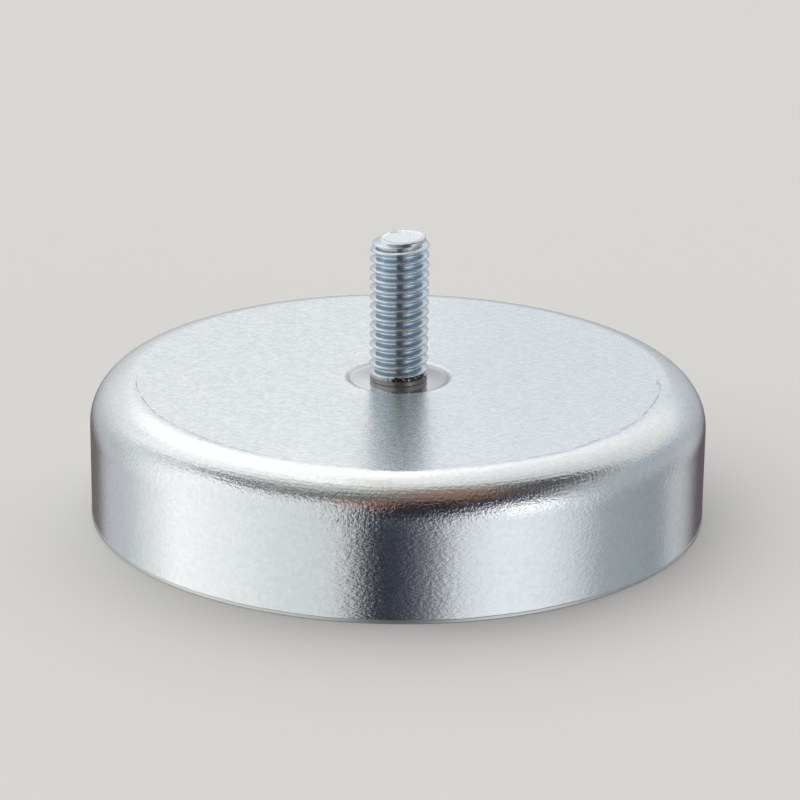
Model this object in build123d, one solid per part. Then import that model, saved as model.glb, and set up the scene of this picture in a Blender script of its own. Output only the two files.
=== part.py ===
from build123d import *
import os

# Flat pot magnet with a threaded stud, in millimetres. +Z is the stud's axis and points the way the stud
# leaves the pot. The origin is the centre of the rim's plane, on which the magnet grips and stands.

# Pot: a cup deep-drawn from steel sheet, open side down
pot_diameter = 63.0
pot_height = 14.0
sheet_thickness = 3.0
punch_radius = 1.4  # inside of the drawn bend; the outside is one sheet thickness larger
rim_outer_chamfer = 0.1  # breaks the edge of the faced rim
rim_inner_chamfer = 0.3

# Dish coined into the closed end when the stud is pressed in, which closes the pot's hole onto the waist
dish_diameter = 10.8
dish_depth = 0.25
dish_wall_run = 0.3  # how far the dish's sloping wall reaches inwards

# Stud: cold-headed, pressed in from the open side until its head seats in the pot's floor
thread_diameter = 6.0  # M6, over the crests
stud_reach = 15.0  # from the pot's flat end to the tip
tip_diameter = 4.4  # flat left inside the lead-in chamfer
tip_chamfer_length = 0.8
waist_diameter = 5.35  # plain, inside the pot's sheet: the blank's size before the thread is rolled
waist_clearance = 0.01
head_diameter = 11.0
head_thickness = 1.3
head_edge_chamfer = 0.2
head_clearance = 0.1  # round the side of the head

# Magnet: a ground disc of sintered hard ferrite
magnet_gap = 1.3  # from the magnet's side to the pot's wall, so that its flux can't close there
magnet_edge_chamfer = 0.5
pole_face_recess = 0.15  # from the rim's plane up to the magnet's pole face

# Resin: poured into the pot before the magnet is set down in it
bond_thickness = 0.2  # layer left between the pot's floor and the magnet
resin_ring_recess = 1.2  # from the rim's plane up to the ring of resin round the magnet

wall_radius = pot_diameter / 2 - sheet_thickness
floor_height = pot_height - sheet_thickness
head_seat_height = floor_height + head_thickness
dish_floor_height = pot_height - dish_depth
magnet_back_height = floor_height - bond_thickness
tip_height = pot_height + stud_reach

standing = (Align.CENTER, Align.CENTER, Align.MIN)


def steel_pot():
    """The cup is the punch's outline given one sheet thickness, which keeps its bend concentric."""
    with BuildPart() as pot:
        with BuildSketch(Plane.XZ):
            with BuildLine():
                corner = (wall_radius, floor_height)
                punch = FilletPolyline((0, floor_height), corner, (wall_radius, 0), radius=punch_radius)
                offset(punch, amount=sheet_thickness, side=Side.LEFT)
            make_face()
        revolve(axis=Axis.Z)
        rim_edges = pot.edges().filter_by(GeomType.CIRCLE).group_by(Axis.Z)[0].sort_by(SortBy.RADIUS)
        chamfer(rim_edges[0], rim_inner_chamfer)
        chamfer(rim_edges[-1], rim_outer_chamfer)
        with Locations((0, 0, dish_floor_height)):
            dish_radius = dish_diameter / 2
            Cone(dish_radius - dish_wall_run, dish_radius, dish_depth, align=standing, mode=Mode.SUBTRACT)
        with Locations((0, 0, floor_height)):
            seat_radius = head_diameter / 2 + head_clearance
            Cylinder(seat_radius, head_thickness, align=standing, mode=Mode.SUBTRACT)
            hole_radius = waist_diameter / 2 + waist_clearance
            Cylinder(hole_radius, sheet_thickness, align=standing, mode=Mode.SUBTRACT)
    return pot.part


def threaded_stud():
    """Head, waist and thread on one axis. The thread is solid to the outside of its crests."""
    head_radius = head_diameter / 2
    waist_radius = waist_diameter / 2
    thread_radius = thread_diameter / 2
    with BuildPart() as stud:
        with BuildSketch(Plane.XZ):
            with BuildLine():
                Polyline(
                    (0, floor_height),
                    (head_radius - head_edge_chamfer, floor_height),
                    (head_radius, floor_height + head_edge_chamfer),
                    (head_radius, head_seat_height),
                    (waist_radius, head_seat_height),
                    (waist_radius, dish_floor_height),
                    (thread_radius, dish_floor_height),
                    (thread_radius, tip_height - tip_chamfer_length),
                    (tip_diameter / 2, tip_height),
                    (0, tip_height),
                    close=True,
                )
            make_face()
        revolve(axis=Axis.Z)
    return stud.part


def ferrite_magnet():
    """A plain disc, chamfered on both edges so that the pressed ferrite doesn't chip."""
    with BuildPart() as magnet:
        with Locations((0, 0, pole_face_recess)):
            Cylinder(wall_radius - magnet_gap, magnet_back_height - pole_face_recess, align=standing)
        chamfer(magnet.edges().filter_by(GeomType.CIRCLE), magnet_edge_chamfer)
    return magnet.part


def resin_bond(magnet):
    """What the magnet leaves of the poured resin: a layer behind it and a ring round it."""
    with BuildPart() as resin:
        with Locations((0, 0, resin_ring_recess)):
            Cylinder(wall_radius, floor_height - resin_ring_recess, align=standing)
        floor_edge = resin.edges().filter_by(GeomType.CIRCLE).group_by(Axis.Z)[-1]
        chamfer(floor_edge, punch_radius)  # keeps clear of the pot's inner bend
        add(magnet, mode=Mode.SUBTRACT)
    return resin.part


magnet_disc = ferrite_magnet()

os.makedirs("parts", exist_ok=True)
export_step(steel_pot(), "parts/steel_pot.step")
export_step(threaded_stud(), "parts/threaded_stud.step")
export_step(magnet_disc, "parts/ferrite_magnet.step")
export_step(resin_bond(magnet_disc), "parts/resin_bond.step")
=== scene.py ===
import math

import bmesh
import bpy
from mathutils import Matrix, Vector, noise


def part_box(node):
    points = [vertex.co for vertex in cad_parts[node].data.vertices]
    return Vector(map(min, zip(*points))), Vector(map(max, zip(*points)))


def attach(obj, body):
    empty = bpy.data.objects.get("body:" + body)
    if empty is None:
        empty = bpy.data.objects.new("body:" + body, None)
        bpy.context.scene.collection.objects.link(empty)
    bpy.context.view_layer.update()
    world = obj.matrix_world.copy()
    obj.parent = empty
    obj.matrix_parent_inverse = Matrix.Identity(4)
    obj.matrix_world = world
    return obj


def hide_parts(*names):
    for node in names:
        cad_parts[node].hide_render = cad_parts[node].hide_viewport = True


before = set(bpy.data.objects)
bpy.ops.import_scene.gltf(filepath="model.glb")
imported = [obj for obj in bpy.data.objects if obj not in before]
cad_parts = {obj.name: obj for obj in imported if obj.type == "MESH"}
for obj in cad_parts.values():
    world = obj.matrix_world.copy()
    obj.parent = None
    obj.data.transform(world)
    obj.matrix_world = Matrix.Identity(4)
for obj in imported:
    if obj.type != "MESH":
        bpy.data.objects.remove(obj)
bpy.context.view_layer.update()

# A flat pot magnet with a threaded stud. Sizes are in millimetres, and MM turns them into Blender's metres.
# Azimuths are in degrees round the stud's axis: 0 is the front, towards -Y, and 90 is towards +X.
MM = 0.001


def corners(node_name):
    """The lowest and highest corner of a CAD node, in millimetres."""
    low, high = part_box(node_name)
    return low / MM, high / MM


_, pot_high = corners("steel_pot")
_, stud_high = corners("threaded_stud")
magnet_low, magnet_high = corners("ferrite_magnet")
resin_low, resin_high = corners("resin_bond")

# Pot, drawn from sheet of one thickness
pot_radius = pot_high.x
pot_height = pot_high.z
pocket_radius = resin_high.x
floor_height = resin_high.z
sheet = pot_radius - pocket_radius
punch_radius = 1.4
bend_radius = punch_radius + sheet
flat_radius = pot_radius - bend_radius
rim_inner_chamfer = 0.3
rim_edge = 0.1
edge_ease = 0.05  # what deburring and plating leave of a sharp corner

# Band that the lathe leaves at the rim when the rim is faced, standing a little proud of the drawn wall
band_height = 0.37
band_step = 0.04

# Dish coined into the flat end, with the metal that it pushes up round it, and the hole that it closes
dish_radius = 5.4
dish_depth = 0.25
dish_wall_run = 0.8  # of the wall with its rounded lip and foot
dish_floor = pot_height - dish_depth
roll_start = dish_radius + 0.2  # where the wall ends at the top and the pushed-up metal starts
roll_height = 0.05
roll_reach = 2.9
crown_radius = 4.2  # inside it the dish rises towards the stud
crown_height = 0.09  # how much higher the dish stands round the stud than at its wall
waist_radius = 2.675
hole_radius = waist_radius + 0.01
head_seat_radius = 5.6
head_seat_height = 12.3

# Stud, M6
pitch = 1.0
crest_radius = 3.0
shank_radius = 2.92
collar_radius = 2.98
tip_height = stud_high.z
head_radius = stud_high.x

magnet_radius = magnet_high.x
magnet_chamfer = 0.5
magnet_ease = 0.1

# How finely round things are divided
pot_segments = 360
stud_segments = 144
disc_segments = 240


# ---------------------------------------------------------------------------------------------------------
# Shapes


def azimuth_of(x, y):
    """The azimuth of a point in degrees, from -180 to 180."""
    return math.degrees(math.atan2(x, -y))


def smooth_step(low, high, value):
    """0 at low and 1 at high, with a soft start and end. low may be the larger of the two."""
    t = min(max((value - low) / (high - low), 0.0), 1.0)
    return t * t * (3.0 - 2.0 * t)


def eased(outline, degrees_a_step=5.0):
    """Turns (radius, height, ease) corners into points, each corner rounded with its own ease."""
    points = []
    count = len(outline)
    for i, (r, z, ease) in enumerate(outline):
        here = Vector((r, z))
        if not ease:
            points.append((r, z))
            continue
        before = (Vector(outline[i - 1][:2]) - here).normalized()
        after = (Vector(outline[(i + 1) % count][:2]) - here).normalized()
        half = before.angle(after) / 2
        centre = here + (before + after).normalized() * (ease / math.sin(half))
        start = here + before * (ease / math.tan(half)) - centre
        turn = math.pi - 2 * half
        if start.cross(here + after * (ease / math.tan(half)) - centre) < 0:
            turn = -turn
        steps = max(2, round(abs(math.degrees(turn)) / degrees_a_step))
        for k in range(steps + 1):
            a = turn * k / steps
            swung = Vector(
                (
                    start.x * math.cos(a) - start.y * math.sin(a),
                    start.x * math.sin(a) + start.y * math.cos(a),
                )
            )
            points.append(tuple(centre + swung))
    return points


def divided(points, longest, closed):
    """Splits runs longer than longest, with a point close to each end so that flats shade flat."""
    close = 0.06
    result = []
    last = len(points) if closed else len(points) - 1
    for i in range(last):
        a = Vector(points[i])
        b = Vector(points[(i + 1) % len(points)])
        result.append(tuple(a))
        length = (b - a).length
        if length > 4 * close:
            direction = (b - a) / length
            inner = length - 2 * close
            steps = max(1, math.ceil(inner / longest))
            for k in range(steps + 1):
                result.append(tuple(a + direction * (close + inner * k / steps)))
    if not closed:
        result.append(points[-1])
    return result


def to_object(name, work, material, node_name):
    """Finishes a bmesh in millimetres as a piece that stands for its CAD node."""
    bmesh.ops.remove_doubles(work, verts=work.verts, dist=1e-4)
    bmesh.ops.dissolve_degenerate(work, edges=work.edges, dist=1e-4)
    bmesh.ops.recalc_face_normals(work, faces=work.faces)
    bmesh.ops.scale(work, vec=(MM, MM, MM), verts=work.verts)
    mesh = bpy.data.meshes.new(name)
    work.to_mesh(mesh)
    work.free()
    mesh.shade_smooth()
    mesh.materials.append(material)
    piece = bpy.data.objects.new(name, mesh)
    bpy.context.scene.collection.objects.link(piece)
    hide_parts(node_name)
    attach(piece, "root")
    return piece


def lathe(work, points, segments, closed):
    """Turns (radius, height) points round the axis. A point on the axis closes the end to a tip."""
    rings = []
    for r, z in points:
        if r < 1e-6:
            rings.append([work.verts.new((0, 0, z))])
            continue
        turns = [2 * math.pi * k / segments for k in range(segments)]
        rings.append([work.verts.new((r * math.cos(a), r * math.sin(a), z)) for a in turns])
    pairs = list(zip(rings, rings[1:] + rings[:1])) if closed else list(zip(rings, rings[1:]))
    for lower, upper in pairs:
        for k in range(segments if len(lower) + len(upper) > 2 else 0):
            n = (k + 1) % segments
            if len(lower) == 1:
                work.faces.new((lower[0], upper[n], upper[k]))
            elif len(upper) == 1:
                work.faces.new((lower[k], lower[n], upper[0]))
            else:
                work.faces.new((lower[k], lower[n], upper[n], upper[k]))
    return rings


# ---------------------------------------------------------------------------------------------------------
# Materials


def hex_colour(text):
    """An sRGB hex colour as linear RGBA."""
    values = [int(text[i : i + 2], 16) / 255 for i in (1, 3, 5)]
    linear = [v / 12.92 if v <= 0.04045 else ((v + 0.055) / 1.055) ** 2.4 for v in values]
    return (*linear, 1.0)


def add(tree, kind, inputs=None, **settings):
    """Adds one node and gives back its outputs. inputs pairs a socket with a value, with a hex colour, or
    with the output that feeds it. The colours of a Mix node are its inputs 6 and 7 and its output 2."""
    made = tree.nodes.new("ShaderNode" + kind)
    for name, value in settings.items():
        setattr(made, name, value)
    for key, value in (inputs or {}).items():
        if isinstance(value, bpy.types.NodeSocket):
            tree.links.new(value, made.inputs[key])
        else:
            made.inputs[key].default_value = hex_colour(value) if isinstance(value, str) else value
    return made.outputs


def new_material(name):
    """An empty material, with its node tree and the place of each point in metres."""
    material = bpy.data.materials.new(name)
    material.use_nodes = True
    tree = material.node_tree
    tree.nodes.clear()
    return material, tree, add(tree, "TexCoord")["Object"]


def random_patterns(tree, wanted):
    """A cloudy pattern for each entry of wanted, which gives its layout, the size of its features in
    millimetres, its detail and its roughness."""
    made = {}
    for name, (laid, size, detail, roughness) in wanted.items():
        inputs = {"Vector": laid, "Scale": 1.0 / (size * MM), "Detail": detail, "Roughness": roughness}
        made[name] = add(tree, "TexNoise", inputs)[0]
    return made


def tinted(tree, below, tint, pattern, low=0.0, high=1.0, most=1.0):
    """Lays a tint over a colour: none of it where the pattern is low, and most where it is high."""
    share = add(tree, "MapRange", {"Value": pattern, "From Min": low, "From Max": high, "To Max": most})[0]
    return add(tree, "Mix", {0: share, 6: below, 7: tint}, data_type="RGBA")[2]


def weighted(tree, start, *terms):
    """The start value plus each term's value times its weight."""
    for value, weight in terms:
        start = add(tree, "Math", {0: value, 1: weight, 2: start}, operation="MULTIPLY_ADD")[0]
    return start


def embossed(tree, pattern, where, depth, under=None):
    """Relief as deep as depth, in millimetres, where the weight is 1, over the relief passed as under."""
    height = add(tree, "Math", {0: pattern, 1: where}, operation="MULTIPLY")[0]
    inputs = {"Height": height, "Strength": 1.0, "Distance": depth * MM}
    if under is not None:
        inputs["Normal"] = under
    return add(tree, "Bump", inputs)[0]


# Rubs and small stains on the flat end: place along X and Y, length, width, turn in degrees, colour
flat_end_marks = [
    (-16.8, -7.85, 1.7, 0.40, 3, "#F0F3F4"),
    (-14.3, -10.6, 2.4, 0.35, -12, "#EEF1F2"),
    (-10.9, -11.2, 1.3, 0.32, 2, "#EDF0F1"),
    (-15.8, 14.8, 1.2, 0.50, 0, "#EEF1F2"),
    (-6.4, 13.6, 1.1, 0.45, 4, "#EDF0F1"),
    (-4.2, 7.3, 0.5, 0.50, 0, "#F8FAFA"),
    (-9.0, -22.3, 1.0, 0.45, 0, "#EDF0F1"),
    (-12.7, 5.1, 0.5, 0.60, 30, "#EEF1F2"),
    (11.6, -13.9, 0.7, 0.35, -20, "#EBEEEF"),
    (8.9, 17.2, 0.9, 0.40, 12, "#EBEEEF"),
    (-11.4, 17.2, 1.0, 0.70, 10, "#BCC2C5"),
    (26.4, -1.2, 1.9, 0.35, 88, "#A89A90"),
]
mark_reach = 2.0  # along Z, so that a mark stays on the end and off the wall


def marked_over(tree, place, colour, patchy):
    """Lays the flat end's marks over a colour, each one broken up by the patchy pattern."""
    for x, y, length, width, turn, tint in flat_end_marks:
        oval = {
            "Vector": place,
            "Location": (x * MM, y * MM, pot_height * MM),
            "Rotation": (0.0, 0.0, math.radians(turn)),
            "Scale": (length * MM, width * MM, mark_reach * MM),
        }
        inside = add(tree, "Mapping", oval, vector_type="TEXTURE")[0]
        away = add(tree, "VectorMath", {0: inside}, operation="LENGTH")["Value"]
        rough_edge = weighted(tree, away, (patchy, 1.1))
        colour = tinted(tree, colour, tint, rough_edge, 1.15, 0.85, 0.6)
    return colour


def wound_layouts(tree, place):
    """Two layouts that follow the lathe and the press: one for lines round the axis, and one that goes
    round the bend and is drawn out along the radius, where the sheet was stretched most."""
    stretch = 0.38
    parts = add(tree, "SeparateXYZ", {0: place})
    flat_place = add(tree, "CombineXYZ", {0: parts["X"], 1: parts["Y"]})[0]
    radius = add(tree, "VectorMath", {0: flat_place}, operation="LENGTH")["Value"]
    across_lines = add(tree, "CombineXYZ", {0: radius, 2: parts["Z"]})[0]
    outward = add(tree, "VectorMath", {0: flat_place}, operation="NORMALIZE")[0]
    on_wall = add(tree, "VectorMath", {0: outward, "Scale": pot_radius * MM}, operation="SCALE")[0]
    down = weighted(tree, parts["Z"], (radius, -stretch))
    along = add(tree, "CombineXYZ", {2: down})[0]
    round_bend = add(tree, "VectorMath", {0: on_wall, 1: along}, operation="ADD")[0]
    return across_lines, round_bend


def drawn_sheet_colour(tree, place, zone, pattern):
    """The zinc's colour over the pot. zone says where each finish lies, and pattern what breaks it up."""
    # the passivation came out bluer on the right of the flat end; the coined dish is painted darker there,
    # as painted shade
    x_place = add(tree, "SeparateXYZ", {0: place})["X"]
    right = add(tree, "MapRange", {"Value": x_place, "From Min": -4.0 * MM, "From Max": 12.0 * MM})[0]
    matt_right = add(tree, "Math", {0: zone["matt"], 1: right}, operation="MULTIPLY")[0]
    dish_right_painted_shade = add(tree, "Math", {0: zone["coined"], 1: right}, operation="MULTIPLY")[0]

    zinc = tinted(tree, "#E0E1E0", "#E5E5E4", pattern["clouds"], 0.35, 0.65)
    zinc = tinted(tree, zinc, "#D0D2D3", zone["grained"], 0.6, 1.0, 0.6)
    zinc = tinted(tree, zinc, "#E5E7E8", zone["matt"], most=0.7)
    zinc = tinted(tree, zinc, "#BCCCD6", matt_right, most=0.45)
    zinc = tinted(tree, zinc, "#CED1D2", pattern["mottle"], 0.3, 0.7, 0.3)
    speckled = weighted(tree, 0.3, (zone["matt"], 0.25))
    zinc = tinted(tree, zinc, "#B9BEC0", pattern["speckle"], 0.3, 0.7, speckled)
    # the coined dish is tinted darker lilac: painted shade and a painted reflection of the lilac
    # surroundings in the dish
    zinc = tinted(tree, zinc, "#C8C6C9", zone["coined"])
    # painted shade: the dish darkened towards its right side
    zinc = tinted(tree, zinc, "#77767A", dish_right_painted_shade)
    zinc = tinted(tree, zinc, "#BDBDBA", zone["turned"])
    # the pressed rings are painted dark grey: painted shade in their shallow grooves
    zinc = tinted(tree, zinc, "#77777F", zone["scribed"])
    return marked_over(tree, place, zinc, pattern["mottle"])


# Finishes of the pot, each an attribute that says how strongly it shows at a point
pot_zones = ("peeled", "grained", "scribed", "coined", "turned", "matt")


def zinc_plated_drawn_sheet():
    """Bright zinc with a clear passivation over deep-drawn steel sheet: a pale neutral metal that mirrors
    softly, matt on the flat end as the sheet came, finely grained down the wall, with orange peel where the
    bend stretched the sheet. The faced rim is matt with lathe lines, and the coined dish is burnished."""
    material, tree, place = new_material("zinc_plated_drawn_sheet")
    zone = {name: add(tree, "Attribute", attribute_name=name)["Fac"] for name in pot_zones}
    lathe_layout, bend_layout = wound_layouts(tree, place)
    # drawing irons the wall's grain flat, so it is much wider than it is high
    ironed_layout = add(tree, "Mapping", {"Vector": place, "Scale": (1.0, 1.0, 2.4)})[0]
    wanted = {
        "clouds": (place, 14.0, 3.0, 0.6),
        "mottle": (place, 0.9, 4.0, 0.65),
        "speckle": (place, 0.55, 2.0, 0.6),
        "grain": (ironed_layout, 0.46, 3.0, 0.6),
        "lathe_lines": (lathe_layout, 0.07, 2.0, 0.6),
        "orange_peel": (bend_layout, 0.30, 2.0, 0.6),
    }
    pattern = random_patterns(tree, wanted)
    zinc = drawn_sheet_colour(tree, place, zone, pattern)

    ringed = weighted(tree, zone["turned"], (zone["coined"], 0.5))
    relief = embossed(tree, pattern["orange_peel"], zone["peeled"], 0.036)
    relief = embossed(tree, pattern["lathe_lines"], ringed, 0.006, relief)
    relief = embossed(tree, pattern["grain"], zone["grained"], 0.032, relief)

    glaze = {"Value": pattern["grain"], "From Min": 0.35, "From Max": 0.65, "To Min": 0.10, "To Max": 0.16}
    dull = add(tree, "MapRange", glaze)[0]
    dull = weighted(tree, dull, (zone["matt"], 0.15), (zone["turned"], 0.20))
    # the film is thickest on the matt end and in the dish, and scatters some of the light there
    metal = weighted(tree, 1.0, (zone["matt"], -0.18), (zone["coined"], -0.15))
    finish = {"Base Color": zinc, "Metallic": metal, "Roughness": dull, "Normal": relief}
    shader = add(tree, "BsdfPrincipled", finish)[0]
    add(tree, "OutputMaterial", {"Surface": shader})
    return material


# Finishes of the stud, in the same way
stud_zones = ("groove", "scuffed", "brown_patch", "shank_dull_and_shaded")


def zinc_plated_rolled_steel():
    """Bright zinc with a clear passivation over a thread formed by rolling: burnished crests, a bluer film
    down in the grooves, metal scuffed where a nut has rubbed, a dark brown patch on the front and right of
    the thread's raw end, and the plain shank under it dulled, and painted darker grey as painted shade at
    the stud's foot."""
    material, tree, place = new_material("zinc_plated_rolled_steel")
    zone = {name: add(tree, "Attribute", attribute_name=name)["Fac"] for name in stud_zones}
    wanted = {
        "grain": (place, 0.25, 3.0, 0.6),
        "scuffs": (place, 0.16, 2.0, 0.6),
        "film": (place, 0.30, 2.0, 0.6),
    }
    pattern = random_patterns(tree, wanted)

    zinc = tinted(tree, "#C8CDD0", "#D8DBDC", pattern["grain"], 0.3, 0.7)
    zinc = tinted(tree, zinc, "#B4B8BF", pattern["film"], 0.35, 0.65, 0.3)
    zinc = tinted(tree, zinc, "#B7C7D2", zone["groove"])
    # painted shade: the plain shank at the stud's foot is painted darker grey
    zinc = tinted(tree, zinc, "#999B9B", zone["shank_dull_and_shaded"])
    brown_patch_mix = weighted(tree, pattern["film"], (zone["brown_patch"], 0.36))
    brown_share = add(tree, "MapRange", {"Value": brown_patch_mix, "From Min": 0.68, "From Max": 0.82})[0]
    zinc = tinted(tree, zinc, "#40362E", brown_share)

    relief = embossed(tree, pattern["grain"], 1.0, 0.005)
    relief = embossed(tree, pattern["scuffs"], zone["scuffed"], 0.035, relief)
    glaze = {"Value": pattern["grain"], "From Min": 0.3, "From Max": 0.7, "To Min": 0.13, "To Max": 0.19}
    dull = add(tree, "MapRange", glaze)[0]
    dull = weighted(tree, dull, (brown_share, 0.20), (zone["shank_dull_and_shaded"], 0.12))
    finish = {"Base Color": zinc, "Metallic": 0.9, "Roughness": dull, "Normal": relief}
    shader = add(tree, "BsdfPrincipled", finish)[0]
    add(tree, "OutputMaterial", {"Surface": shader})
    return material


def ground_ferrite():
    """Sintered strontium ferrite, ground flat: a charcoal ceramic with a dull sheen and fine grinding
    lines."""
    material, tree, place = new_material("ground_ferrite")
    lay = add(tree, "Mapping", {"Vector": place, "Scale": (1.0, 22.0, 1.0)})[0]
    lines = random_patterns(tree, {"grinding": (lay, 4.0, 5.0, 0.6)})["grinding"]
    ceramic = tinted(tree, "#222326", "#434447", lines, 0.3, 0.7)
    relief = embossed(tree, lines, 1.0, 0.01)
    finish = {"Base Color": ceramic, "Roughness": 0.5, "IOR": 2.2, "Normal": relief}
    shader = add(tree, "BsdfPrincipled", finish)[0]
    add(tree, "OutputMaterial", {"Surface": shader})
    return material


def cast_epoxy():
    """Dark potting epoxy, poured and cured in place: smooth and glossy with a slightly drawn-up edge."""
    material, tree, place = new_material("cast_epoxy")
    clouds = random_patterns(tree, {"clouds": (place, 2.5, 3.0, 0.6)})["clouds"]
    resin = tinted(tree, "#27221E", "#3A342E", clouds, 0.3, 0.7)
    relief = embossed(tree, clouds, 1.0, 0.05)
    finish = {"Base Color": resin, "Roughness": 0.28, "IOR": 1.55, "Normal": relief}
    shader = add(tree, "BsdfPrincipled", finish)[0]
    add(tree, "OutputMaterial", {"Surface": shader})
    return material


# ---------------------------------------------------------------------------------------------------------
# Pieces


def around(azimuth, seed, coarseness):
    """A smooth random value from about -0.5 to 0.5 that closes on itself round the axis."""
    a = math.radians(azimuth)
    return noise.noise(Vector((math.cos(a), math.sin(a), seed)) * coarseness)


# Lines that the drawing die has pressed at the start of the bend: radius, half width, and arcs of first
# azimuth, last azimuth and strength
press_rings = [
    (26.62, 0.10, [(-86, -28, 1.0), (20, 88, 0.9), (-162, -140, 0.5)]),
    (26.92, 0.07, [(-64, -36, 0.6), (32, 64, 0.6), (-120, -100, 0.3)]),
]
press_depth = 0.03
press_waver = 0.12
press_zone = 25.0  # the radius outside which the rings lie and waver


def pressed(azimuth, arcs, seed):
    """How strongly a press ring shows, from 0 to 1. It is broken where the die's edge skipped."""
    strength = 0.0
    for start, end, amount in arcs:
        inside = smooth_step(start - 6, start + 6, azimuth) * smooth_step(end + 6, end - 6, azimuth)
        strength = max(strength, amount * inside)
    return strength * min(1.0, max(0.0, 0.7 + 1.5 * around(azimuth, seed, 22.0)))


def rolled_up(r, azimuth):
    """Height of the metal that coining pushes up round the dish, highest at the front and the left."""
    away = min(max((r - roll_start) / roll_reach, 0.0), 1.0)
    strength = 0.68 + 0.34 * math.cos(math.radians(azimuth + 30))
    return roll_height * strength * (1.0 - away) ** 3


def pot_outline():
    """Half of the pot's section, from the mouth over the rim, wall, bend, flat end and dish to the hole,
    and back along the pocket. The press rings and the rolled-up metal only get points here."""
    wall_radius = pot_radius - band_step
    outline = [
        (pocket_radius, rim_inner_chamfer, edge_ease),
        (pocket_radius + rim_inner_chamfer, 0.0, edge_ease),
        (pot_radius - rim_edge, 0.0, 0.03),
        (pot_radius, rim_edge, 0.03),
        (pot_radius, band_height, 0.02),
        (wall_radius, band_height + 0.04, 0.02),
        (wall_radius, pot_height, wall_radius - flat_radius),
    ]
    for radius, half_width, _ in reversed(press_rings):
        outline += [(radius + half_width * k, pot_height, 0.0) for k in (1, 0, -1)]
    outline += [(roll_start + roll_reach * (1 - k / 8) ** 1.5, pot_height, 0.0) for k in range(9)]
    for k in range(1, 13):
        fall = (1 - math.cos(math.pi * k / 12)) / 2
        outline.append((roll_start - dish_wall_run * k / 12, pot_height - dish_depth * fall, 0.0))
    outline += [
        (crown_radius, dish_floor + 0.2 * crown_height, 0.9),
        (hole_radius, dish_floor + crown_height, 0.0),
        (hole_radius, head_seat_height, 0.0),
        (head_seat_radius, head_seat_height, 0.0),
        (head_seat_radius, floor_height, 0.0),
        (pocket_radius, floor_height, punch_radius),
    ]
    return outline


def press_into(work, scribed):
    """Sinks the press rings into the flat end, then lets everything there waver off a true circle."""
    for vert in work.verts:
        x, y, z = vert.co
        r = math.hypot(x, y)
        if z < pot_height - 0.001 or r < press_zone:
            continue
        azimuth = azimuth_of(x, y)
        for seed, (radius, _, arcs) in enumerate(press_rings):
            if abs(r - radius) < 0.001:
                strength = pressed(azimuth, arcs, seed)
                vert[scribed] = strength
                vert.co.z -= press_depth * strength
        taper = smooth_step(press_zone, 26.4, r) * smooth_step(flat_radius, 26.85, r)
        shift = 1 + 2 * press_waver * around(azimuth, 5.0, 4.0) * taper / r
        vert.co.x *= shift
        vert.co.y *= shift


# Heights over which the orange peel comes in above the wall and goes again below the flat end
peel_comes = (8.6, 10.4)
peel_goes = (pot_height - 1.5, pot_height - 0.2)
ironed_below = 11.5  # the height under which drawing has ironed the grain
dish_side = dish_radius - 0.1  # between the dish and the flat end, for their finishes
sheet_grain = 0.6
turned_grain = 0.3


def zone_the_sheet(work, zone):
    """Sets how strongly each finish shows on the pot: sheet, then the turned band, then the coined dish."""
    for vert in work.verts:
        x, y, z = vert.co
        r = math.hypot(x, y)
        on_top = z > pot_height - dish_depth - 0.15
        if (on_top or r > flat_radius) and r > dish_side:
            on_side = smooth_step(flat_radius, pot_radius - 0.5, r)
            ironed = smooth_step(pot_height, ironed_below, z) * on_side
            peel_ends = 1.0 - smooth_step(*peel_goes, z)
            vert[zone["matt"]] = smooth_step(flat_radius + 0.9, flat_radius - 0.3, r)
            vert[zone["peeled"]] = peel_ends * smooth_step(*peel_comes, z)
            vert[zone["grained"]] = sheet_grain + (1.0 - sheet_grain) * ironed
        if r > pocket_radius and z < band_height + 0.045:
            vert[zone["turned"]] = 1.0
            vert[zone["grained"]] = turned_grain
        if z > head_seat_height + 0.5 and r < dish_radius + 0.1:
            coined = smooth_step(dish_radius + 0.1, dish_radius - 0.4, r)
            vert[zone["coined"]] = coined
            vert[zone["grained"]] = sheet_grain - 0.4 * coined
            vert[zone["matt"]] = 1.0 - coined


def steel_pot():
    """The drawn pot: one turned skin, then what the press, the lathe and the coining left on it."""
    work = bmesh.new()
    lathe(work, divided(eased(pot_outline()), 1.0, True), pot_segments, True)
    zone = {name: work.verts.layers.float.new(name) for name in pot_zones}
    press_into(work, zone["scribed"])
    zone_the_sheet(work, zone)
    for vert in work.verts:
        x, y, z = vert.co
        r = math.hypot(x, y)
        azimuth = azimuth_of(x, y)
        if r > pot_radius - 0.1 and abs(z - band_height) < 0.1:
            vert.co.z += 0.05 * around(azimuth, 9.0, 30.0) + 0.04 * around(azimuth, 11.0, 5.0)
        if z > dish_floor and r > crown_radius:
            vert.co.z += rolled_up(r, azimuth) * smooth_step(dish_floor, pot_height, z)
    return to_object("drawn_pot", work, zinc_plated_drawn_sheet(), "steel_pot")


# Thread, M6 x 1: 60 degree flanks, a fully rounded crest and the standard root
flank = math.radians(30)
sharp_height = pitch / 2 / math.tan(flank)
thread_depth = 0.6134 * pitch
root_round = 0.1443 * pitch
crest_round = sharp_height - thread_depth - root_round
first_crest_height = 27.54  # of a crest at azimuth -90, the stud's left side
collar_low = dish_floor + 0.61  # the thread's raw lower end, over the plain shank
runout_low = dish_floor + 0.75
runout_high = dish_floor + 1.27

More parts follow.
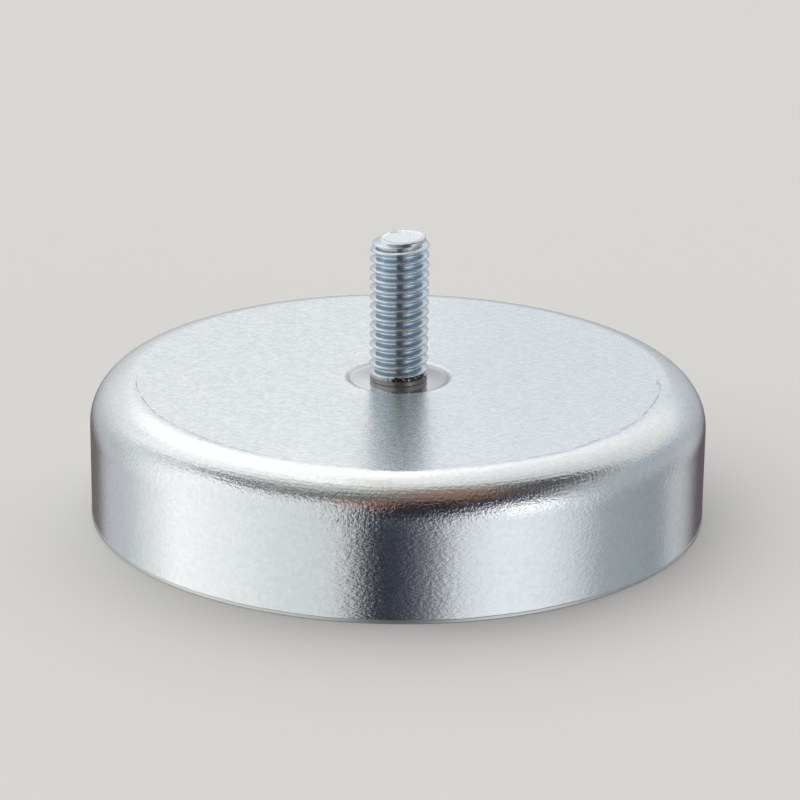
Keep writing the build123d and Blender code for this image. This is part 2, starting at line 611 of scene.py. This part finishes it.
# Tip: sheared off the wire before rolling, so its end leans and stands off the axis
tip_radius = 2.27
tip_offset = 0.31
shear_height = 0.45  # of the sheared part, which widens most on the left and hardly at all on the right
lead_in_taper = 1.8  # how fast the lead-in under it widens
tip_ease = 0.10
tip_lean = (0.047, 0.04)  # rise of the end along X and Y
tip_drop = 0.16  # keeps the leaning end's high side within the stud's reach
lip_height = 0.11  # of the lip that the shears left at the end's back
lip_hollow = 0.14  # of the dent inside that lip
end_hollow = 0.04  # of the whole end inside its edge
burr_reach = 0.16  # of the burr on the right of the first turn
burr_down = 0.8  # below the end


def thread_cut(phase):
    """Depth below the crest at a phase from the crest's middle, from -0.5 to 0.5 of the pitch."""
    t = abs(phase) * pitch
    u = pitch / 2 - t
    reach = math.cos(flank)
    if t < crest_round * reach:
        return crest_round - math.sqrt(crest_round**2 - t**2)
    if u < root_round * reach:
        return thread_depth - root_round + math.sqrt(root_round**2 - u**2)
    return crest_round * (1 - math.sin(flank)) + (t - crest_round * reach) / math.tan(flank)


def stud_radius(phase, z, a):
    """The stud's outside at height z and at angle a from +X, over a thread at that phase."""
    fade = smooth_step(runout_low, runout_high, z)
    radius = collar_radius + (crest_radius - collar_radius - thread_cut(phase)) * fade
    down = tip_height - z
    end = tip_offset * math.cos(a) + math.sqrt(tip_radius**2 - (tip_offset * math.sin(a)) ** 2)
    sheared = (0.6 - 0.5 * math.cos(a)) * min(down, shear_height)
    lead_in = end + sheared + lead_in_taper * max(down - shear_height, 0.0)
    lead_in -= 0.07 * (1.0 - min(down / tip_ease, 1.0)) ** 2
    burr = burr_reach * smooth_step(0.07, 0.02, abs(a)) * smooth_step(0.14, 0.04, abs(down - burr_down))
    return min(radius, lead_in) + burr


def tip_relief(x, y, z):
    """How far the end's lean, and the lip that the shears left at its back, move a point up."""
    lean = tip_lean[0] * x + tip_lean[1] * y - tip_drop
    rise = lean * smooth_step(tip_height - 1.4, tip_height, z)
    if z > tip_height - 1e-5:
        out = math.hypot(x - tip_offset, y) / tip_radius
        side = azimuth_of(x - tip_offset, y)
        arc = smooth_step(-176, -160, side) * smooth_step(-136, -150, side)
        lip = lip_height * smooth_step(0.88, 0.94, out) - lip_hollow * smooth_step(0.74, 0.84, out)
        rise += arc * lip - end_hollow * smooth_step(0.96, 0.80, out)
    return rise


def threaded_side(work, segments, steps, bottom, zone):
    """The helical rows from the collar to the tip, with a bluer film in the grooves and a rubbed flank."""
    turns = math.ceil((tip_height - bottom) / pitch) + 2
    rows = []
    for i in range(turns * steps + 1):
        row = []
        for k in range(segments):
            turn = k / segments
            a = 2 * math.pi * turn
            if a > math.pi:
                a -= 2 * math.pi
            z = bottom - pitch + (i / steps + turn) * pitch
            z = min(max(z, bottom), tip_height)
            # a crest stands at first_crest_height where the azimuth is -90, which is half a turn here
            from_crest = (z - first_crest_height) / pitch - (turn - 0.5)
            phase = from_crest - round(from_crest)
            r = stud_radius(phase, z, a)
            vert = work.verts.new((r * math.cos(a), r * math.sin(a), z))
            azimuth = azimuth_of(vert.co.x, vert.co.y)
            if z < tip_height - 0.01:
                below_tip = smooth_step(0.6, 1.2, tip_height - z)
                vert[zone["groove"]] = smooth_step(0.04, 0.34, crest_radius - r) * below_tip
                upper_flank = smooth_step(0.10, 0.18, phase) * smooth_step(0.42, 0.30, phase)
                rubbed_side = smooth_step(-20, 10, azimuth) * smooth_step(75, 50, azimuth)
                vert[zone["scuffed"]] = upper_flank * rubbed_side
            row.append(vert)
        rows.append(row)
    for i in range(turns * steps):
        for k in range(segments):
            a, b = rows[i][k], rows[i + 1][k]
            if k + 1 < segments:
                c, d = rows[i + 1][k + 1], rows[i][k + 1]
            elif i + 1 + steps <= turns * steps:
                c, d = rows[i + 1 + steps][0], rows[i + steps][0]
            else:
                continue
            work.faces.new((a, b, c, d))


def stud_end(work, segments):
    """The flat end inside the lead-in: rings that shrink onto the end's own centre."""
    edge = []
    for k in range(segments):
        a = 2 * math.pi * k / segments
        r = stud_radius(0.0, tip_height, a)
        edge.append(Vector((r * math.cos(a), r * math.sin(a), tip_height)))
    centre = Vector((tip_offset, 0.0, tip_height))
    rings = []
    for share in (1.0, 0.97, 0.93, 0.88, 0.82, 0.76, 0.70, 0.4):
        rings.append([work.verts.new(centre.lerp(place, share)) for place in edge])
    for outer, inner in zip(rings, rings[1:]):
        for k in range(segments):
            n = (k + 1) % segments
            work.faces.new((outer[k], outer[n], inner[n], inner[k]))
    middle = work.verts.new(centre)
    for k in range(segments):
        work.faces.new((rings[-1][k], rings[-1][(k + 1) % segments], middle))


def threaded_stud():
    """The stud: its thread and end, and a turned foot from the collar through the waist to the head."""
    segments = stud_segments
    bottom = runout_low - 0.06
    shank_foot = dish_floor + crown_height + 0.006
    work = bmesh.new()
    zone = {name: work.verts.layers.float.new(name) for name in stud_zones}
    threaded_side(work, segments, 20, bottom, zone)
    stud_end(work, segments)
    foot = [
        (collar_radius, bottom, 0.0),
        (collar_radius, collar_low, 0.02),
        (shank_radius, collar_low - 0.04, 0.02),
        (shank_radius, shank_foot, 0.0),
        (waist_radius, shank_foot, 0.0),
        (waist_radius, head_seat_height, 0.0),
        (head_radius, head_seat_height, 0.1),
        (head_radius, floor_height, 0.2),
        (0.0, floor_height, 0.0),
    ]
    lathe(work, divided(eased(foot), 3.0, False), segments, False)
    for vert in work.verts:
        x, y, z = vert.co
        azimuth = azimuth_of(x, y)
        # a dark brown patch low on the thread's front and right
        if collar_low - 0.01 < z < runout_high:
            low = smooth_step(runout_high, runout_low + 0.2, z)
            vert[zone["brown_patch"]] = low * smooth_step(-40, 0, azimuth) * smooth_step(85, 60, azimuth)
        # the plain shank: duller, and painted darker grey as painted shade
        if shank_foot - 0.01 < z < collar_low - 0.01:
            vert[zone["shank_dull_and_shaded"]] = 1.0
        vert.co.z += tip_relief(x, y, z)
    return to_object("rolled_stud", work, zinc_plated_rolled_steel(), "threaded_stud")


def ferrite_disc():
    """The magnet, a disc chamfered on both edges."""
    face_radius = magnet_radius - magnet_chamfer
    outline = [
        (0.0, magnet_low.z, 0.0),
        (face_radius, magnet_low.z, magnet_ease),
        (magnet_radius, magnet_low.z + magnet_chamfer, magnet_ease),
        (magnet_radius, magnet_high.z - magnet_chamfer, magnet_ease),
        (face_radius, magnet_high.z, magnet_ease),
        (0.0, magnet_high.z, 0.0),
    ]
    work = bmesh.new()
    lathe(work, divided(eased(outline), 3.0, False), disc_segments, False)
    return to_object("ferrite_disc", work, ground_ferrite(), "ferrite_magnet")


def resin_ring():
    """The resin behind and round the magnet, whose open edge is drawn up to the metal and the ferrite."""
    sag = 0.12
    gap = resin_high.x - magnet_radius
    meniscus = []
    for k in range(11):
        across = k / 10
        rise = sag * (2 * across - 1) ** 2
        meniscus.append((magnet_radius + gap * across, resin_low.z - rise, 0.0))
    outline = meniscus + [
        (resin_high.x, floor_height, punch_radius),
        (0.0, floor_height, 0.0),
        (0.0, magnet_high.z, 0.0),
        (magnet_radius, magnet_high.z, 0.0),
    ]
    work = bmesh.new()
    lathe(work, eased(outline), disc_segments, True)
    return to_object("resin_ring", work, cast_epoxy(), "resin_bond")


# ---------------------------------------------------------------------------------------------------------
# Studio: camera, floor and surroundings


def camera():
    """A long lens at the front, a little above the flat end."""
    lens = bpy.data.cameras.new("camera")
    lens.lens = 148.14
    lens.sensor_width = 36.0
    lens.clip_start = 0.01
    lens.clip_end = 20.0
    stand = bpy.data.objects.new("camera", lens)
    bpy.context.scene.collection.objects.link(stand)
    distance = 341.1
    elevation = math.radians(21.20)
    where = Vector((0, -distance * math.cos(elevation), distance * math.sin(elevation)))
    aim = Vector((0.182, 0.0, 11.43))
    lean = math.radians(0.632)
    stand.location = where * MM
    turned = (aim - where).to_track_quat("-Z", "Y").to_matrix().to_4x4()
    stand.rotation_euler = (turned @ Matrix.Rotation(lean, 4, "Z")).to_euler()
    bpy.context.scene.camera = stand


def floor():
    """A plain pale floor, which the metal doesn't mirror: it mirrors the panels below the horizon."""
    material, tree, _ = new_material("pale_floor")
    finish = {"Base Color": "#E9E7E4", "Roughness": 0.7, "Specular IOR Level": 0.2}
    shader = add(tree, "BsdfPrincipled", finish)[0]
    add(tree, "OutputMaterial", {"Surface": shader})
    work = bmesh.new()
    bmesh.ops.create_circle(work, cap_ends=True, segments=96, radius=6.0)
    mesh = bpy.data.meshes.new("floor")
    work.to_mesh(mesh)
    work.free()
    mesh.materials.append(material)
    slab = bpy.data.objects.new("floor", mesh)
    bpy.context.scene.collection.objects.link(slab)
    slab.visible_glossy = False


# Soft panels round the set, each laid over those before it: azimuths, elevations, softness of the edges,
# how many degrees it rises for each degree round, the way its colour changes, the first and last colour,
# and gain. The metal mirrors these.
panels = [
    ("ceiling", (-190, 190), (54, 95), 8, 0.0, "up", "#C4C6C5", "#CBCCCB", 1.0),
    ("ceiling behind", (105, 262), (52, 86), 10, 0.0, "up", "#EFF0EE", "#D0D2D0", 1.0),
    ("ceiling, left", (-95, -35), (54, 82), 8, 0.0, "across", "#C2C6C5", "#AFB1AE", 1.0),
    ("ceiling over the camera", (-35, 98), (52, 84), 9, 0.0, "up", "#62605B", "#A4A39F", 1.0),
    ("far side, above", (95, 262), (-14, 34), 4, 0.0, "up", "#96999B", "#E5E8EA", 1.0),
    ("far side, above, right", (95, 184), (-14, 22), 5, 0.0, "up", "#90949A", "#BEC3C8", 1.0),
    ("far side, below", (143, 217), (-90, -13), 3, 0.0, "across", "#524A51", "#69645F", 1.0),
    ("far side, below, left", (217, 250), (-90, -3), 4, 0.0, "across", "#ACABB2", "#BEC2C5", 1.0),
    ("far side, below, right", (121, 143), (-90, -3), 2.5, 0.0, "across", "#C4C6C8", "#929294", 1.0),
    ("pale wall behind, right", (98, 178), (23, 76), 5, 0.0, "across", "#B2B6B7", "#E8EAEA", 1.0),
    ("big softbox behind", (174, 254), (32, 74), 5, 0.37, "across", "#FCFEFF", "#FBFCFC", 1.0),
    ("softbox, dimmer end", (228, 258), (21, 70), 4, 0.0, "across", "#EDF0F0", "#E2E6E7", 1.0),
    ("right wall", (62, 108), (-8, 30), 5, 0.0, "up", "#A0A5A8", "#A9ADB0", 1.0),
    ("right wall, upper", (60, 103), (27, 48), 4, 0.0, "up", "#A6AAAD", "#7A7D82", 1.0),
    ("right wall, low", (75, 120), (-60, -5), 4, 0.0, "across", "#9CA3A8", "#858D92", 1.0),
    ("streak on the right wall", (98, 144), (6, 12), 2.5, -1.0, "across", "#B4B8BC", "#BDC1C5", 1.0),
    ("blue shade on the right wall", (104, 126), (11, 26), 3, -0.4, "across", "#929DA8", "#9AA5AD", 1.0),
    ("dim ceiling in front", (-30, 100), (38, 62), 5, 0.0, "across", "#66675F", "#505054", 1.0),
    ("ceiling above the left window", (-94, -25), (48, 64), 4, 0.0, "across", "#B4B8B7", "#73746E", 1.0),
    ("beam over the left window", (-90, -14), (41.5, 50.5), 2, 0.0, "across", "#40454D", "#393A3E", 1.0),
    ("left window's frame", (-114, -84), (-60, 36), 5, 0.0, "across", "#CBCFD0", "#FAFBFB", 1.0),
    ("left window, bright panes", (-94, -50), (-60, 38.5), 2.5, 0.0, "across", "#FEFFFF", "#E1E4E4", 1.0),
    ("left window, dimmer panes", (-54, -15), (-60, 39.5), 2, 0.0, "across", "#DFE2E3", "#C8CBCD", 1.0),
    ("beam, slanting", (-123, -96), (26.5, 30), 2, 0.5, "across", "#B0B4B7", "#868A90", 1.0),
    ("beam, steep", (-101, -88), (34.5, 41), 2, 1.0, "across", "#7E828A", "#555A62", 1.0),
    ("warm patch of ceiling", (6, 54), (50, 80), 6, 0.0, "across", "#806A5F", "#8E6756", 1.0),
    ("dark corner", (62, 94), (48, 60), 5, 0.0, "across", "#393A40", "#46474C", 1.0),
    ("dark above the right window", (-8, 62), (22, 48), 3, 0.0, "across", "#0E0F15", "#34363F", 1.0),
    ("haze over the right window", (30, 64), (22, 31), 3, 0.0, "across", "#5A5C68", "#8A8D9A", 1.0),
    ("terracotta shade", (-18, -4), (33.5, 44), 2, 0.0, "across", "#F2967C", "#C8765F", 1.0),
    ("lit side of the stand", (4, 20), (-60, 9), 2, 0.0, "across", "#44474F", "#888A92", 1.0),
    ("right window, near the stand", (18, 38), (-60, 19), 2, 0.0, "across", "#CACDD1", "#E6E9EC", 1.0),
    ("right window", (35, 61), (-60, 23), 2.5, 0.0, "across", "#E9EDF2", "#DFE3E8", 1.0),
    ("right window, far panes", (60, 75.5), (-60, 17), 2, 0.0, "across", "#D9DDE2", "#BEC3C7", 1.0),
    ("lamp in the right window", (38, 56), (3, 16), 3, 0.0, "across", "#FFFFFF", "#FFFFFF", 1.5),
    ("dark beside the right window", (14, 38), (12, 26), 2, 0.8, "across", "#26272F", "#4A4C56", 1.0),
    ("stand", (-15.5, 5), (-60, 10), 1.2, 0.0, "across", "#32363F", "#30343D", 1.0),
    ("camera", (-15.5, 16), (8, 38), 1.5, 0.0, "across", "#23252D", "#22232A", 1.0),
]
# The same room in broad strokes, for the light on everything that doesn't mirror it
daylight = [
    ("ceiling", (-190, 190), (30, 95), 12, 0.0, "up", "#CDCECD", "#D0D1D0", 1.0),
    ("big softbox", (130, 260), (26, 72), 8, 0.0, "across", "#F0F0EF", "#F4F5F5", 1.0),
    ("left window", (-108, -15), (-20, 40), 6, 0.0, "across", "#F2F3F3", "#C4C6C7", 1.0),
    ("right window", (16, 70), (-20, 21), 6, 0.0, "across", "#DDDFE1", "#DDDFE1", 1.0),
    ("dark corner over the camera", (-20, 90), (22, 68), 8, 0.0, "across", "#6E6D6C", "#6E6D6C", 1.0),
]
room_light = 1.45  # how bright a white panel is


def panel_over(tree, azimuth, elevation, below, panel):
    """Lays one panel over the colours seen so far."""
    _, across, up, soft, slant, way, first, last, gain = panel
    half = (across[1] - across[0]) / 2
    tall = (up[1] - up[0]) / 2
    middle = math.radians((across[0] + across[1]) / 2)
    offset = add(tree, "Math", {0: azimuth, 1: middle}, operation="SUBTRACT")[0]
    if across[1] + soft > 180:
        offset = add(tree, "Math", {0: offset, 1: math.pi, 2: -math.pi}, operation="WRAP")[0]
    above = weighted(tree, elevation, (offset, -slant)) if slant else elevation
    above = add(tree, "Math", {0: above, 1: math.radians((up[0] + up[1]) / 2)}, operation="SUBTRACT")[0]
    inside = []
    for away, reach in ((offset, half), (above, tall)):
        distance = add(tree, "Math", {0: away}, operation="ABSOLUTE")[0]
        outer, inner = math.radians(reach + soft), math.radians(reach - soft)
        edge = {"Value": distance, "From Min": outer, "From Max": inner}
        inside.append(add(tree, "MapRange", edge, interpolation_type="SMOOTHSTEP")[0])
    mask = add(tree, "Math", dict(enumerate(inside)), operation="MULTIPLY")[0]
    colours = [[value * gain * room_light for value in hex_colour(c)[:3]] + [1.0] for c in (first, last)]
    colour = colours[0]
    if first != last:
        along, reach = (offset, half) if way == "across" else (above, tall)
        colour = tinted(tree, *colours, along, -math.radians(reach), math.radians(reach))
    return add(tree, "Mix", {0: mask, 6: below, 7: colour}, data_type="RGBA")[2]


def sky(tree, azimuth, elevation, laid):
    """A plain grey with the panels laid over it, as a background."""
    seen = hex_colour("#C9CBCB")
    for panel in laid:
        seen = panel_over(tree, azimuth, elevation, seen, panel)
    return add(tree, "Background", {"Color": seen})[0]


def surroundings():
    """What the metal mirrors, in full, and the same room in broad strokes for the light that it throws on
    dull things. The camera itself sees a plain pale wall."""
    world = bpy.data.worlds.new("studio")
    world.use_nodes = True
    bpy.context.scene.world = world
    tree = world.node_tree
    tree.nodes.clear()
    parts = add(tree, "SeparateXYZ", {0: add(tree, "TexCoord")["Generated"]})
    front = add(tree, "Math", {0: parts["Y"], 1: -1.0}, operation="MULTIPLY")[0]
    azimuth = add(tree, "Math", {0: parts["X"], 1: front}, operation="ARCTAN2")[0]
    elevation = add(tree, "Math", {0: parts["Z"]}, operation="ARCSINE")[0]
    broad = sky(tree, azimuth, elevation, daylight)
    mirrored = sky(tree, azimuth, elevation, panels)
    ray = add(tree, "LightPath")
    lit = add(tree, "MixShader", {0: ray["Is Glossy Ray"], 1: broad, 2: mirrored})[0]
    wall = add(tree, "Background", {"Color": "#D9D8D6"})[0]
    shown = add(tree, "MixShader", {0: ray["Is Camera Ray"], 1: lit, 2: wall})[0]
    add(tree, "OutputWorld", {"Surface": shown})


camera()
floor()
surroundings()
steel_pot()
threaded_stud()
ferrite_disc()
resin_ring()

bpy.context.scene.view_settings.view_transform = "Standard"
